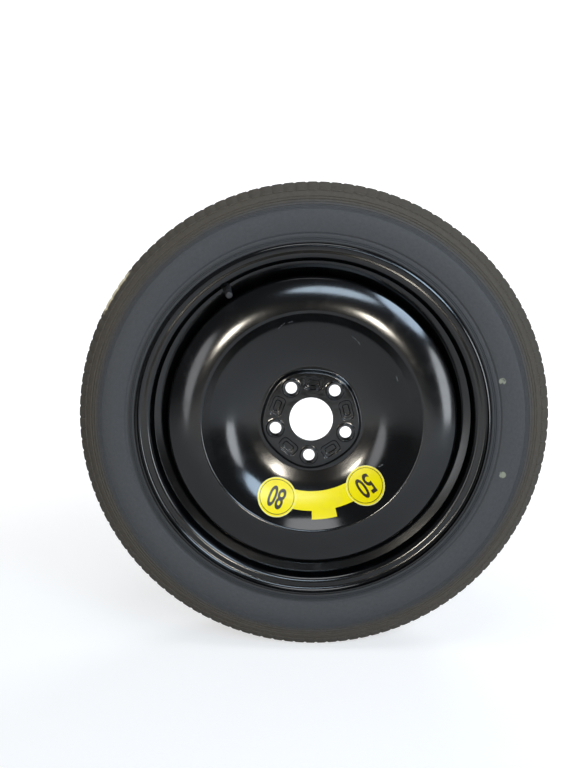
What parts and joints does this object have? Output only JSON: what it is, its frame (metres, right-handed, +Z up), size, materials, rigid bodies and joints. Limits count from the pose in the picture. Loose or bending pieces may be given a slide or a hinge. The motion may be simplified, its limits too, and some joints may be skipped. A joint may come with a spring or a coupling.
{
  "type": "spare wheel",
  "caption": "Narrow temporary-use car wheel: rubber tyre on a black pressed-steel rim and dished disc, with a capped rubber valve and a yellow speed label.",
  "frame": {"origin": "centre of the wheel, on the axle line and halfway between the rim flanges", "axes": "+Y along the axle towards the vehicle, the outer face looks along -Y, +Z up"},
  "size_m": [0.66, 0.1352, 0.66],
  "materials": {
    "tyre_rubber": "matt, dusty",
    "black_paint": "gloss",
    "valve_rubber": "matt",
    "valve_brass": "satin",
    "valve_seal": "matt",
    "spring_wire": "bright",
    "cap_plastic": "satin",
    "label_film": "satin film"
  },
  "bodies": {
    "wheel": {"tyre": "tyre_rubber", "rim": "black_paint", "wheel_disc": "black_paint", "disc_welds": "black_paint", "valve_body": "valve_rubber", "valve_stem": "valve_brass", "valve_core": "valve_brass", "valve_core_seal": "valve_seal", "valve_spring": "spring_wire", "speed_label": "label_film"},
    "valve_cap": {"valve_cap": "cap_plastic"},
    "valve_pin": {"valve_pin": "valve_brass", "valve_pin_seal": "valve_seal"}
  },
  "joints": [
    {"name": "cap_off", "type": "slide", "parent": "wheel", "child": "valve_cap", "axis": [0.2185, -0.9135, -0.343], "range_m": [0, 0.015]},
    {"name": "pin_press", "type": "slide", "parent": "wheel", "child": "valve_pin", "axis": [-0.2185, 0.9135, 0.343], "range_m": [0, 0.0012], "stiffness_N_per_m": 500, "springref_m": -0.003, "deforming": ["valve_spring"]}
  ]
}
